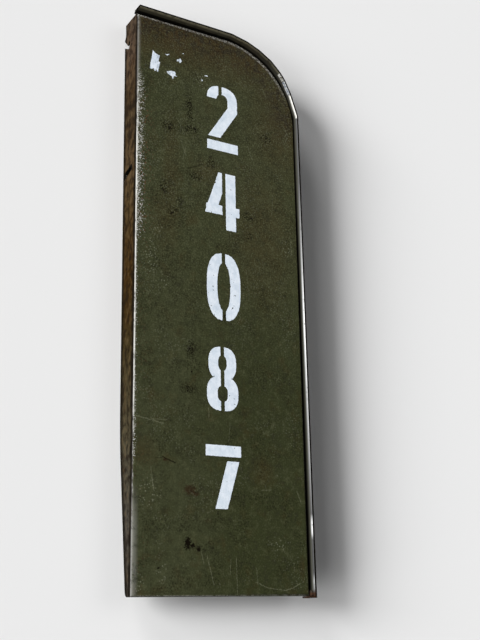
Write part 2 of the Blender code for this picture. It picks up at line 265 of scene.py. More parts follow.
def past_corner(tree, across, up):
    """How far a place lies right of the round corner's centre, and how far above it, at least 0."""
    right = maths(tree, "SUBTRACT", across, FACE_WIDTH - CORNER_RADIUS)
    above = maths(tree, "SUBTRACT", up, FACE_HEIGHT - CORNER_RADIUS)
    return maths(tree, "MAXIMUM", right, 0.0), maths(tree, "MAXIMUM", above, 0.0)


def smooth_folds(piece):
    """Shades bends smoothly, and keeps sharp edges and flat sheets as they are."""
    group = bpy.data.node_groups.get("smooth_folds")
    if group is None:
        group = bpy.data.node_groups.new("smooth_folds", "GeometryNodeTree")
        group.interface.new_socket("Geometry", in_out="INPUT", socket_type="NodeSocketGeometry")
        group.interface.new_socket("Geometry", in_out="OUTPUT", socket_type="NodeSocketGeometry")
        start = group.nodes.new("NodeGroupInput")
        merge = group.nodes.new("GeometryNodeMergeByDistance")
        merge.inputs["Distance"].default_value = 0.01 * MM
        faces = group.nodes.new("GeometryNodeSetShadeSmooth")
        faces.domain = "FACE"
        angle = group.nodes.new("GeometryNodeInputMeshEdgeAngle")
        sharp = group.nodes.new("FunctionNodeCompare")
        sharp.operation = "GREATER_THAN"
        sharp.inputs[1].default_value = SMOOTH_BELOW
        edges = group.nodes.new("GeometryNodeSetShadeSmooth")
        edges.domain = "EDGE"
        edges.inputs["Shade Smooth"].default_value = False
        end = group.nodes.new("NodeGroupOutput")
        group.links.new(start.outputs[0], merge.inputs["Geometry"])
        group.links.new(merge.outputs[0], faces.inputs["Geometry"])
        group.links.new(faces.outputs[0], edges.inputs["Geometry"])
        group.links.new(angle.outputs["Unsigned Angle"], sharp.inputs[0])
        group.links.new(sharp.outputs[0], edges.inputs["Selection"])
        group.links.new(edges.outputs[0], end.inputs[0])
    smooth = piece.modifiers.new("smooth_folds", "NODES")
    smooth.node_group = group
    flat = piece.modifiers.new("flat_sheets", "WEIGHTED_NORMAL")
    flat.keep_sharp = True
    flat.weight = 100


def dress(piece, material):
    piece.data.materials.clear()
    piece.data.materials.append(material)


OLIVE_UPPER = shade(50, 53, 31)
OLIVE_LOWER = shade(53, 56, 35)
OLIVE_RIGHT = shade(40, 44, 20)
DRIED_BROWN = shade(54, 39, 14)
BLOTCH_DARK = shade(34, 35, 19)
BLOTCH_PALE = shade(76, 78, 54)
GRAIN_DARK = shade(27, 28, 14)
GRAIN_PALE = shade(84, 86, 60)
TOP_GRIME = shade(27, 20, 12)
STAIN = shade(34, 21, 4)
DARK_PIT = shade(16, 13, 7)
RED_SPECK = shade(92, 56, 40)
PALE_SPECK = shade(118, 120, 100)
PALE_WEAR = shade(104, 106, 84)
BARE_STEEL = shade(172, 171, 166)
STEEL_PALE = shade(70, 58, 40)
STEEL_RUSTY = shade(42, 24, 6)
STEEL_DARK = shade(17, 11, 6)
# Painted shade for the flange's back edge, the slot and the fold's first third; a darker tone by the fold
BACK_EDGE_SHADE = shade(9, 7, 4)
FLANGE_DARK_BY_FOLD = shade(12, 9, 5)
SLOT_SHADE = shade(5, 4, 3)
FOLD_SHADOW = shade(10, 8, 5)
# Bare brown steel of the flange, from foot to top, painted darker than it is as painted shade
# that offsets the strong light on this side
FLANGE_SHADED_TINTS = (
    (0, shade(50, 46, 40)),
    (60, shade(52, 50, 45)),
    (150, shade(52, 48, 35)),
    (240, shade(41, 33, 15)),
    (310, shade(40, 25, 3)),
    (380, shade(52, 40, 21)),
    (430, shade(60, 47, 30)),
    (480, shade(40, 31, 19)),
    (520, shade(47, 36, 22)),
    (560, shade(60, 48, 37)),
    (600, shade(56, 46, 37)),
)
# How bare the left fold is, from foot to top, which also sets how bright its painted highlight is
FOLD_WEAR_AND_HIGHLIGHT = (
    (0, 0.35),
    (90, 0.4),
    (125, 0.3),
    (165, 0.55),
    (205, 0.85),
    (440, 0.9),
    (500, 0.62),
    (530, 0.2),
    (600, 0.1),
)
# Lines on the face, as (start, end, half width, strength)
FACE_SCRATCHES = (
    ((3.0, 165.5), (31.0, 160.5), 0.8, 0.8),
    ((14.0, 163.0), (35.0, 164.0), 0.6, 0.7),
    ((20.3, 108.0), (22.6, 96.0), 0.6, 1.0),
    ((19.0, 118.0), (20.3, 108.0), 0.6, 0.5),
    ((106.0, 166.0), (104.5, 148.0), 0.5, 0.5),
    ((104.7, 33.7), (103.4, 20.6), 0.5, 0.6),
    ((110.8, 33.7), (111.3, 2.2), 0.5, 0.7),
    ((133.2, 26.4), (134.5, 11.4), 0.5, 0.6),
    ((132.3, 13.3), (145.8, 7.7), 0.6, 0.7),
    ((145.8, 7.7), (166.5, 5.3), 0.6, 0.8),
    ((166.5, 5.3), (174.9, 7.7), 0.6, 0.9),
    ((174.9, 7.7), (184.0, 12.0), 0.6, 0.9),
    ((141.7, 101.4), (152.3, 102.4), 0.7, 0.6),
    ((183.6, 101.9), (188.0, 91.0), 0.7, 0.6),
    ((81.8, 179.5), (81.9, 167.5), 0.7, 0.6),
    ((79.0, 36.0), (85.5, 12.0), 0.6, 0.7),
    ((72.5, 41.0), (75.0, 30.0), 0.6, 0.7),
    ((154.9, 555.4), (159.9, 544.0), 0.6, 0.6),
    ((181.8, 514.0), (188.2, 503.0), 0.7, 0.6),
    ((51.5, 464.8), (57.4, 448.8), 0.6, 0.7),
    ((47.9, 487.4), (55.1, 473.9), 0.6, 0.6),
    ((57.0, 458.0), (54.0, 444.0), 0.6, 0.6),
    ((134.0, 477.0), (139.5, 462.0), 0.6, 0.6),
    ((165.0, 425.0), (163.0, 402.0), 0.6, 0.35),
    ((129.0, 330.0), (131.0, 300.0), 0.5, 0.4),
    ((186.0, 378.0), (187.5, 360.0), 0.7, 0.6),
)
FACE_CRACKS = (
    ((31.8, 127.8), (44.6, 123.3), 0.9, 0.9),
    ((60.0, 434.0), (78.0, 443.0), 1.0, 0.55),
    ((24.0, 126.5), (32.0, 127.6), 0.6, 0.6),
)
# Ovals on the face, as (across, up, half width, half height)
BLACK_PITS = (
    (58.3, 48.3, 3.4, 5.2),
    (63.5, 46.4, 2.4, 1.8),
    (69.8, 43.2, 2.2, 2.4),
    (54.8, 44.6, 0.8, 0.8),
    (3.4, 22.6, 0.9, 1.2),
    (27.5, 25.5, 1.3, 0.9),
    (91.3, 20.5, 0.8, 0.8),
    (60.0, 482.0, 1.3, 1.6),
    (38.5, 475.6, 1.2, 1.6),
    (68.5, 479.0, 1.6, 1.0),
    (64.8, 494.0, 1.0, 1.2),
    (62.4, 503.0, 1.2, 1.0),
    (63.0, 214.0, 0.9, 1.2),
    (98.0, 272.0, 1.8, 0.9),
    (159.0, 493.0, 1.4, 1.0),
)
DARK_CLUSTERS = (
    (61.0, 505.0, 4.0, 20.0),
    (65.0, 481.0, 9.0, 5.0),
    (68.0, 427.0, 9.0, 5.0),
    (88.0, 448.0, 4.0, 6.0),
    (49.5, 394.0, 4.0, 5.0),
    (41.0, 382.0, 6.0, 5.0),
    (32.0, 408.0, 5.0, 7.0),
    (133.0, 393.0, 7.0, 5.0),
    (133.0, 371.0, 3.0, 4.0),
    (36.0, 478.0, 9.0, 6.0),
    (158.0, 492.0, 7.0, 6.0),
    (60.0, 197.0, 8.0, 5.0),
    (62.0, 238.0, 5.0, 9.0),
    (96.0, 277.0, 8.0, 5.0),
)
PALE_CLUSTERS = (
    (25.0, 358.0, 6.0, 8.0),
    (33.0, 306.0, 5.0, 9.0),
    (187.0, 504.0, 6.0, 7.0),
    (28.0, 434.0, 5.0, 5.0),
    (160.0, 49.0, 11.0, 7.0),
    (31.0, 22.0, 5.0, 9.0),
    (6.0, 12.0, 7.0, 9.0),
    (18.0, 93.0, 10.0, 14.0),
    (29.0, 72.0, 6.0, 4.0),
    (78.0, 541.0, 12.0, 10.0),
    (180.0, 366.0, 7.0, 9.0),
    (16.0, 330.0, 9.0, 22.0),
)
STAINS = ((60.5, 98.5, 6.0, 4.4), (66.5, 94.5, 4.0, 1.8), (34.0, 125.5, 2.2, 1.2))
BROWN_PLACES = (
    (13.0, 133.0, 12.0, 12.0),
    (61.0, 97.0, 6.5, 3.2),
    (5.0, 2.0, 9.0, 6.0),
    (84.0, 434.0, 18.0, 12.0),
    (40.0, 430.0, 9.0, 55.0),
    (34.0, 372.0, 14.0, 30.0),
    (150.0, 370.0, 35.0, 70.0),
    (168.0, 500.0, 22.0, 40.0),
    (142.0, 120.0, 12.0, 14.0),
    (187.0, 26.0, 3.0, 12.0),
)


def olive_enamel():
    material, tree, shader, place = start_finish("olive_enamel")
    across, depth, up = add(tree, "SeparateXYZ", {"Vector": place}).outputs
    left = facing(tree, (-1, 0, 0))
    front = facing(tree, (0, -1, 0))
    on_face = fade(tree, front, 0.9, 0.98)
    right, above = past_corner(tree, across, up)
    reach = add(tree, "CombineXYZ", {"X": right, "Z": above}).outputs[0]
    reach = add(tree, "VectorMath", {0: reach}, operation="LENGTH").outputs["Value"]
    inset = maths(tree, "SUBTRACT", CORNER_RADIUS, reach)
    cloud = grain(tree, place, 60.0, detail=5.0)
    mottle = grain(tree, place, 15.0, detail=6.0, rough=0.6, shift=3.0)
    uneven = maths(tree, "SUBTRACT", grain(tree, place, 3.0, detail=5.0, rough=0.65, shift=27.0), 0.5)
    fine = grain(tree, place, 1.8, detail=3.0, rough=0.75, shift=9.0)

    # Enamel, a little cloudy, duller to the lower right and browner at the top
    colour = blend(tree, fade(tree, up, 40.0, 420.0), OLIVE_LOWER, OLIVE_UPPER)
    dull = product(tree, fade(tree, across, 40.0, 130.0), fade(tree, up, 420.0, 200.0))
    colour = blend(tree, dull, colour, OLIVE_RIGHT)
    colour = blend(tree, product(tree, fade(tree, cloud, 0.4, 0.7), 0.4), colour, OLIVE_RIGHT)
    browned = most(
        tree,
        fade(tree, up, 528.0, 596.0),
        product(tree, fade(tree, across, 110.0, 190.0), fade(tree, up, 420.0, 520.0), 0.7),
        product(tree, patches(tree, place, uneven, BROWN_PLACES, soft=0.7), 0.4),
        product(tree, fade(tree, mottle, 0.5, 0.75), 0.35),
    )
    brown_share = maths(tree, "MULTIPLY_ADD", fade(tree, mottle, 0.25, 0.6), 0.5, 0.45)
    colour = blend(tree, product(tree, browned, brown_share), colour, DRIED_BROWN)
    blotch = grain(tree, place, 7.0, detail=6.0, rough=0.7, shift=51.0)
    colour = blend(tree, product(tree, fade(tree, blotch, 0.5, 0.34), 0.65), colour, BLOTCH_DARK)
    colour = blend(tree, product(tree, fade(tree, blotch, 0.52, 0.7), 0.45), colour, BLOTCH_PALE)
    grimy = product(tree, fade(tree, up, 480.0, 530.0), fade(tree, inset, 46.0, 10.0), 0.85)
    colour = blend(tree, product(tree, grimy, fade(tree, blotch, 0.46, 0.54)), colour, TOP_GRIME)
    stain = patches(tree, place, uneven, STAINS, soft=0.5)
    colour = blend(tree, product(tree, stain, 0.9), colour, STAIN)
    grainy = maths(tree, "MULTIPLY_ADD", fade(tree, up, 150.0, 420.0), 0.5, 0.35)
    colour = blend(tree, product(tree, fade(tree, fine, 0.5, 0.68), grainy), colour, GRAIN_PALE)
    colour = blend(tree, product(tree, fade(tree, fine, 0.48, 0.3), grainy), colour, GRAIN_DARK)

    # Bare brown steel on the mounting flange, in tints darkened as painted shade. Painted shade lies along
    # its back edge, round the slot and on the cut walls behind the face, a painted shadow lies on the fold's
    # first third, and the flange is darker next to the fold
    flange = fade(tree, left, 0.75, 0.95)
    streaks = grain(tree, place, 7.0, detail=6.0, rough=0.72, stretch=(1, 1, 1.6), shift=7.0)
    steel = graded(tree, up, FACE_HEIGHT, FLANGE_SHADED_TINTS)
    steel = blend(tree, product(tree, fade(tree, streaks, 0.5, 0.66), 0.6), steel, STEEL_PALE)
    rusty = fade(tree, grain(tree, place, 11.0, detail=5.0, rough=0.7, shift=17.0), 0.48, 0.7)
    steel = blend(tree, product(tree, rusty, 0.45), steel, STEEL_RUSTY)
    steel = blend(tree, product(tree, fade(tree, streaks, 0.53, 0.42), 0.8), steel, STEEL_DARK)
    back_edge = add(
        tree,
        "MapRange",
        {"Value": up, "From Max": TAPER_TOP, "To Min": FLANGE_AT_FOOT, "To Max": FLANGE_AT_TAPER},
    ).outputs["Result"]
    gained = fade(tree, up, TAPER_TOP, FLANGE_TOP)
    back_edge = maths(tree, "MULTIPLY_ADD", gained, FLANGE_GAIN, back_edge)
    # Painted shade along the flange's back edge
    near_edge = fade(tree, maths(tree, "SUBTRACT", back_edge, depth), 6.5, 1.5)
    steel = blend(tree, product(tree, near_edge, 0.85), steel, BACK_EDGE_SHADE)
    # The flange is made darker next to the fold, unevenly
    darker_share = maths(tree, "MULTIPLY_ADD", fade(tree, streaks, 0.7, 0.4), 0.35, 0.6)
    near_fold = product(tree, fade(tree, depth, 6.5, 4.5), darker_share)
    steel = blend(tree, near_fold, steel, FLANGE_DARK_BY_FOLD)
    # Painted shade round the lower slot, so that it reads as dark as the hole
    sideways = add(tree, "CombineXYZ", {"X": depth, "Z": up}).outputs[0]
    round_slot = scratch(tree, sideways, uneven, (10.8, 427.0), (29.4, 421.8), 5.0, 1.0)
    steel = blend(tree, product(tree, fade(tree, round_slot, 0.15, 0.4), 0.95), steel, SLOT_SHADE)
    colour = blend(tree, fade(tree, left, 0.3, 0.7), colour, steel)
    colour = blend(tree, product(tree, band(tree, front, 0.1, 0.42, 0.08), 0.85), colour, FOLD_SHADOW)
    # Painted shade on the cut walls of the slots and edges behind the face
    cut_edge = fade(tree, maths(tree, "ABSOLUTE", left), 0.7, 0.5)
    behind = fade(tree, depth, 4.0, 5.0)
    colour = blend(tree, product(tree, cut_edge, behind, 0.9), colour, DARK_PIT)

    # Pits, specks and cracks, where rust has come through the enamel
    dark_places = patches(tree, place, uneven, DARK_CLUSTERS, soft=0.6)
    often = fade(tree, grain(tree, place, 26.0, shift=2.0), 0.44, 0.62)
    specks = most(tree, fade(tree, fine, 0.51, 0.45), fade(tree, blotch, 0.43, 0.38))
    specks = product(tree, specks, most(tree, dark_places, product(tree, often, 0.15)))
    fine_specks = dots(tree, place, 2.3, 1.2, shift=4.0)
    fine_specks = product(tree, fine_specks, most(tree, dark_places, often), 0.6)
    pits = patches(tree, place, maths(tree, "SUBTRACT", fine, 0.5), BLACK_PITS, soft=0.25, ragged=3.6)
    cracks = scratches(tree, place, uneven, FACE_CRACKS)
    dark = product(tree, most(tree, specks, fine_specks, pits, cracks), on_face)
    colour = blend(tree, dark, colour, DARK_PIT)
    gloss = maths(tree, "MULTIPLY_ADD", most(tree, dark, flange), -0.08, 0.09)
    where = most(tree, fade(tree, across, 26.0, 6.0), product(tree, often, 0.1))
    height = maths(tree, "MULTIPLY_ADD", band(tree, up, 380.0, 480.0, 50.0), 0.8, 0.2)
    reddish = product(tree, dots(tree, place, 3.4, 1.2, shift=14.0), where, product(tree, on_face, height))
    colour = blend(tree, product(tree, reddish, 0.75), colour, RED_SPECK)

    # Pale scratches, specks and rubbed places
    marks = scratches(tree, place, uneven, FACE_SCRATCHES)
    marks = product(tree, marks, fade(tree, fine, 0.36, 0.52))
    hairs = grain(tree, place, 1.3, detail=3.0, stretch=(1, 1, 22), shift=21.0)
    hairs = product(tree, fade(tree, hairs, 0.66, 0.76), fade(tree, cloud, 0.45, 0.6), 0.35)
    marks = product(tree, most(tree, marks, hairs), on_face)
    colour = blend(tree, product(tree, marks, 0.8), colour, PALE_WEAR)
    pale_places = patches(tree, place, uneven, PALE_CLUSTERS, soft=0.6)
    rare = fade(tree, grain(tree, place, 34.0, shift=44.0), 0.5, 0.62)
    where = most(tree, pale_places, product(tree, rare, 0.4))
    pale = product(tree, dots(tree, place, 2.5, 0.95, shift=8.0), where, on_face)
    colour = blend(tree, product(tree, pale, 0.65), colour, PALE_SPECK)

    # Bright metal: a thin line down the left fold, laid where its highlight falls and partly a painted
    # highlight, grains of it beside the fold, and dots of it along the other folds. A painted sheen of it
    # lies on the fold near its foot and near its top.
    wear_and_highlight = graded(tree, up, FACE_HEIGHT, FOLD_WEAR_AND_HIGHLIGHT)
    fold_noise = grain(tree, place, 3.0, detail=6.0, rough=0.7, stretch=(1, 1, 3), shift=1.0)
    # The fold line lies in the band of the bend where the highlight falls: partly a painted highlight
    core = product(tree, band(tree, front, 0.58, 0.88, 0.12), fade(tree, left, 0.1, 0.3))
    fold = maths(tree, "SUBTRACT", fold_noise, maths(tree, "MULTIPLY_ADD", wear_and_highlight, -0.4, 0.72))
    fold = product(tree, core, fade(tree, fold, -0.12, 0.14), maths(tree, "MULTIPLY_ADD", wear_and_highlight, 0.42, 0.3))
    speckle_and_sheen = grain(tree, place, 1.5, detail=2.0, rough=0.8, shift=31.0)
    beside = product(tree, fade(tree, across, 17.0, 1.5), band(tree, up, 365.0, 515.0, 50.0))
    middle = band(tree, up, 130.0, 515.0, 25.0)
    beside = most(tree, beside, product(tree, fade(tree, across, 6.5, 1.5), 0.8, middle))
    speckle_and_sheen = maths(tree, "SUBTRACT", speckle_and_sheen, maths(tree, "MULTIPLY_ADD", beside, -0.26, 0.76))
    near_left = fade(tree, across, 18.0, 12.0)
    speckle_and_sheen = product(tree, fade(tree, speckle_and_sheen, 0.0, 0.06), fade(tree, front, 0.6, 0.9), near_left)
    # Painted sheen on the fold near its foot and near its top
    low_sheen = product(tree, fade(tree, across, 8.0, 1.0), fade(tree, up, 110.0, 60.0), 0.3)
    high_sheen = product(tree, fade(tree, across, 4.8, 1.0), fade(tree, up, 505.0, 530.0), 0.17)
    sheen = product(tree, most(tree, low_sheen, high_sheen), fade(tree, front, 0.3, 0.6))
    speckle_and_sheen = most(tree, speckle_and_sheen, product(tree, sheen, fade(tree, blotch, 0.25, 0.5)))
    bend = product(tree, band(tree, front, 0.3, 0.93, 0.05), fade(tree, left, 0.35, 0.1))
    top_line = product(tree, fade(tree, inset, 3.3, 2.5), fade(tree, up, 540.0, 575.0))
    bend = most(tree, bend, product(tree, top_line, fade(tree, front, 0.1, 0.4)))
    end_edge = most(tree, fade(tree, up, 520.0, 560.0), product(tree, fade(tree, up, 5.0, 2.0), 0.3))
    bend = product(tree, bend, fade(tree, fine, 0.42, 0.6), maths(tree, "MULTIPLY_ADD", end_edge, 0.45, 0.15))
    bare_and_highlight = product(tree, most(tree, fold, speckle_and_sheen, bend), maths(tree, "SUBTRACT", 1.0, behind))
    colour = blend(tree, bare_and_highlight, colour, BARE_STEEL)

    rough = maths(tree, "MULTIPLY_ADD", mottle, 0.25, 0.42)
    rough = maths(tree, "MULTIPLY_ADD", flange, 0.12, rough)
    metal = product(tree, bare_and_highlight, 0.35)
    connect(tree, shader, colour=colour, roughness=rough, metallic=metal, gloss=gloss)

    waves = raise_surface(tree, shader, grain(tree, place, 90.0, detail=2.0, shift=11.0), 1.2)
    film = maths(tree, "SUBTRACT", maths(tree, "MULTIPLY", fine, 0.3), most(tree, pits, fold))
    film = maths(tree, "MULTIPLY_ADD", product(tree, streaks, flange), 0.5, film)
    raise_surface(tree, shader, film, 0.07, under=waves)
    return material


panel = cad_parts["front_panel"]
smooth_folds(panel)
dress(panel, olive_enamel())


# Rim strip
# A hemmed steel strip bent in short flats round the top, the corner and the right side. It was sprayed
# with the panel, and is scuffed to grey and bright metal along its hem, with rust at the welded foot.
# Painted highlights lie on its hem and three flats, its inner side is painted lighter where little light
# falls and darker where much does, and painted shade fills its groove and the hem's outer half.
RIM_REACH = 5.2  # past the face's right edge
# Painted shade for the groove and the hem's outer half
RIM_SHADE = shade(12, 11, 8)
RIM_GRIME = shade(40, 36, 26)
# Painted light for the front of the strip's inner side, along the top and down the right, and for the hem
TOP_PAINTED_LIGHT = shade(101, 98, 83)
SIDE_PAINTED_LIGHT = shade(74, 74, 68)
HEM_RUBBED_AND_LIT = shade(133, 127, 103)
OUTER_DARK = shade(38, 39, 25)
OUTER_PALE = shade(56, 57, 39)
OUTER_SCUFFED = shade(98, 96, 84)
RUST = shade(62, 38, 20)
RUST_DARK = shade(26, 17, 11)
# A painted bluish reflection on one of the corner flats
BLUISH_REFLECTION = shade(88, 94, 104)
# Enamel on the inner side of the strip, from its left end to the right side, painted lighter along the
# top where little light falls and darker round the corner and down the side where the light falls full
RIM_TINTS_WITH_PAINTED_LIGHT = (
    (0, shade(77, 73, 59)),
    (110, shade(77, 73, 59)),
    (122, shade(64, 59, 46)),
    (140, shade(50, 46, 37)),
    (157, shade(34, 32, 26)),
    (197, shade(40, 40, 34)),
)
# How light the hem is rubbed down the right side, from foot to top, which sets the brightness of its
# painted highlight
HEM_WEAR_AND_HIGHLIGHT = (
    (0, 0.02),
    (14, 0.2),
    (22, 0.04),
    (55, 0.05),
    (62, 0.4),
    (72, 0.4),
    (80, 0.06),
    (200, 0.24),
    (280, 0.46),
    (350, 0.22),
    (400, 0.12),
    (450, 0.055),
    (600, 0.05),
)


def rim_steel():
    material, tree, shader, place = start_finish("rim_steel")
    across, depth, up = add(tree, "SeparateXYZ", {"Vector": place}).outputs
    right, above = past_corner(tree, across, up)
    outward = add(tree, "CombineXYZ", {"X": right, "Z": above}).outputs[0]
    outward = add(tree, "VectorMath", {0: outward}, operation="NORMALIZE").outputs[0]
    out = facing(tree, outward)
    front = facing(tree, (0, -1, 0))
    turn = maths(tree, "DIVIDE", above, maths(tree, "MAXIMUM", right, 1.0))
    right_side = fade(tree, across, 178.0, 193.0)
    mottle = grain(tree, place, 5.0, detail=6.0, rough=0.68)
    hatch = grain(tree, place, 1.3, detail=2.0, stretch=(1, 1, 3), shift=23.0)

    # Enamel, painted lighter on the side turned down and towards the front of the inner side, as painted
    # light, with painted shade in the groove
    colour = graded(tree, across, FACE_WIDTH + RIM_REACH, RIM_TINTS_WITH_PAINTED_LIGHT)
    colour = blend(tree, product(tree, fade(tree, mottle, 0.5, 0.35), 0.5), colour, RIM_GRIME)
    # Painted light on the front part of the inner side
    forward = fade(tree, depth, -0.8, -2.6)
    colour = blend(tree, product(tree, forward, fade(tree, across, 125.0, 105.0), 0.5), colour, TOP_PAINTED_LIGHT)
    colour = blend(tree, product(tree, forward, right_side, 0.5), colour, SIDE_PAINTED_LIGHT)
    # Painted shade in the groove
    groove = fade(tree, maths(tree, "MULTIPLY_ADD", right_side, 1.6, depth), 0.6, 2.6)
    colour = blend(tree, product(tree, groove, 0.95), colour, RIM_SHADE)

    # The hem, rubbed along its inner side: a little at the top, where it is also painted lighter as painted
    # light, and to grey and bright metal down the right, where its brightness is a painted highlight
    ridge = product(tree, fade(tree, out, -0.5, -0.7), fade(tree, depth, -2.7, -3.7))
    wear_and_highlight = graded(tree, up, FACE_HEIGHT, HEM_WEAR_AND_HIGHLIGHT)
    # Painted highlight along the ridge down the right side, over rubbed metal
    rubbed = product(tree, ridge, right_side, fade(tree, hatch, 0.2, 0.42))
    elsewhere = product(tree, maths(tree, "SUBTRACT", 1.0, right_side), fade(tree, mottle, 0.36, 0.52))
    along_top = maths(tree, "MULTIPLY_ADD", fade(tree, across, 150.0, 105.0), 0.75, 0.15)
    colour = blend(tree, product(tree, ridge, elsewhere, along_top), colour, HEM_RUBBED_AND_LIT)
    colour = blend(tree, rubbed, colour, wear_and_highlight)

    # Painted highlights on three of the flats round the corner: bare metal on the first and third, and a
    # painted bluish reflection streaked with bare metal on the second. Nicks of bare metal lie along the
    # front.
    inner_side = product(tree, fade(tree, depth, -1.2, -2.4), fade(tree, out, -0.3, -0.5))
    flat_one = product(tree, inner_side, band(tree, turn, 0.76, 0.9, 0.02), fade(tree, hatch, 0.44, 0.5))
    flat_two = product(tree, inner_side, band(tree, turn, 0.5, 0.72, 0.02))
    flat_three = product(tree, ridge, band(tree, turn, 0.14, 0.47, 0.02), fade(tree, hatch, 0.3, 0.42))
    streaked = product(tree, flat_two, fade(tree, hatch, 0.5, 0.56), 0.7)
    colour = blend(tree, product(tree, flat_two, 0.9), colour, BLUISH_REFLECTION)
    nicks = product(tree, dots(tree, place, 9.0, 1.2), fade(tree, front, 0.3, 0.7), 0.35)
    bare_and_highlight = most(tree, product(tree, flat_one, 0.85), flat_three, product(tree, streaked, 0.8), nicks)
    colour = blend(tree, bare_and_highlight, colour, BARE_STEEL)

    # Painted shade over the hem's outer half, and enamel on the strip's outer side
    outer = fade(tree, out, -0.72, -0.5)
    colour = blend(tree, outer, colour, RIM_SHADE)
    side = blend(tree, fade(tree, mottle, 0.42, 0.6), OUTER_DARK, OUTER_PALE)
    side = blend(tree, product(tree, fade(tree, hatch, 0.6, 0.7), 0.4), side, OUTER_SCUFFED)
    colour = blend(tree, fade(tree, out, 0.8, 0.97), colour, side)

    # Rust at the foot and its weld
    foot = fade(tree, up, 7.0, 2.0)
    rust_grain = grain(tree, place, 2.6, detail=6.0, rough=0.7, shift=13.0)
    rust = blend(tree, product(tree, fade(tree, rust_grain, 0.4, 0.65), 0.5), RUST_DARK, RUST)
    colour = blend(tree, foot, colour, rust)

    rough = maths(tree, "MULTIPLY_ADD", mottle, 0.25, 0.4)
    rough = maths(tree, "MULTIPLY_ADD", foot, 0.25, rough)
    metal = product(tree, most(tree, bare_and_highlight, rubbed), 0.3, maths(tree, "SUBTRACT", 1.0, foot))
    hem_arc = product(tree, outer, fade(tree, out, 0.8, 0.5))
    gloss = maths(tree, "MULTIPLY_ADD", hem_arc, -0.1, 0.1)
    connect(tree, shader, colour=colour, roughness=rough, metallic=metal, gloss=gloss)

    dents = grain(tree, place, 12.0, detail=3.0, rough=0.5, shift=29.0)
    under = raise_surface(tree, shader, dents, 0.6)
    film = maths(tree, "SUBTRACT", maths(tree, "MULTIPLY", hatch, 0.4), bare_and_highlight)
    film = maths(tree, "MULTIPLY_ADD", product(tree, rust_grain, foot), 2.0, film)
    raise_surface(tree, shader, film, 0.1, under=under)
    return material


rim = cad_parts["rim_strip"]
smooth_folds(rim)
dress(rim, rim_steel())


# Rear panel
# A flat steel sheet that closes the back, folded once behind the flange. Its thin coat of the same
# enamel is scraped, and rust runs down it from the rivets.
RIVET_ROWS = (0.16, 0.5, 0.82)


def rear_enamel():
    material, tree, shader, place = start_finish("rear_enamel")
    across, depth, up = add(tree, "SeparateXYZ", {"Vector": place}).outputs
    cloud = grain(tree, place, 45.0, detail=5.0)
    mottle = grain(tree, place, 6.0, detail=6.0, rough=0.68, shift=3.0)
    colour = blend(tree, fade(tree, cloud, 0.35, 0.65), shade(56, 58, 40), shade(68, 69, 48))
    colour = blend(tree, product(tree, fade(tree, mottle, 0.5, 0.7), 0.6), colour, DRIED_BROWN)
    runs = grain(tree, place, 5.0, detail=5.0, stretch=(1, 1, 14), shift=7.0)
    below = []
    for share in RIVET_ROWS:
        row = FACE_HEIGHT * share
        below.append(product(tree, fade(tree, up, row - 70.0, row), fade(tree, up, row + 4.0, row)))
    rust = product(tree, most(tree, *below), fade(tree, runs, 0.5, 0.66))
    edges = most(
        tree,
        fade(tree, across, 9.0, 2.0),
        fade(tree, across, 184.0, 192.0),
        fade(tree, up, 10.0, 1.0),
        fade(tree, up, 592.0, 602.0),
    )
    rim_rust = product(tree, edges, fade(tree, mottle, 0.4, 0.55))
    rust = most(tree, rust, rim_rust)
    colour = blend(tree, product(tree, rust, 0.85), colour, RUST)
    hairs = grain(tree, place, 2.0, detail=5.0, rough=0.7, stretch=(9, 1, 1.5), shift=12.0)
    scrapes = product(tree, fade(tree, hairs, 0.62, 0.72), fade(tree, cloud, 0.42, 0.6), 0.35)
    colour = blend(tree, scrapes, colour, shade(118, 118, 108))
    specks = product(tree, dots(tree, place, 4.0, 0.8), fade(tree, cloud, 0.35, 0.5), 0.8)
    colour = blend(tree, specks, colour, DARK_PIT)
    rough = maths(tree, "MULTIPLY_ADD", rust, 0.25, maths(tree, "MULTIPLY_ADD", mottle, 0.2, 0.42))
    connect(tree, shader, colour=colour, roughness=rough)
    shader.inputs["Specular IOR Level"].default_value = 0.35
    waves = raise_surface(tree, shader, grain(tree, place, 80.0, detail=2.0, shift=2.0), 1.8)
    film = maths(tree, "MULTIPLY_ADD", mottle, 0.6, maths(tree, "SUBTRACT", rust, scrapes))
    raise_surface(tree, shader, film, 0.12, under=waves)
    return material


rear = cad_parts["rear_panel"]
smooth_folds(rear)
dress(rear, rear_enamel())


# Stiffeners
# Three hat sections of thin formed steel between the two sheets, in brown primer that was never
# painted over. The rear panel is riveted to them.
ROWS = ("low", "mid", "high")


def brown_primer():
    material, tree, shader, place = start_finish("brown_primer")
    mottle = grain(tree, place, 8.0, detail=6.0, rough=0.65)
    dust = grain(tree, place, 2.2, detail=4.0, shift=5.0)
    colour = blend(tree, fade(tree, mottle, 0.35, 0.65), shade(66, 44, 31), shade(86, 60, 44))
    colour = blend(tree, product(tree, fade(tree, dust, 0.55, 0.7), 0.5), colour, shade(104, 92, 78))
    connect(tree, shader, colour=colour, roughness=maths(tree, "MULTIPLY_ADD", mottle, 0.25, 0.6))
    raise_surface(tree, shader, dust, 0.08)
    return material


primer = brown_primer()
for row in ROWS:
    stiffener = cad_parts[f"stiffener_{row}"]
    smooth_folds(stiffener)
    dress(stiffener, primer)


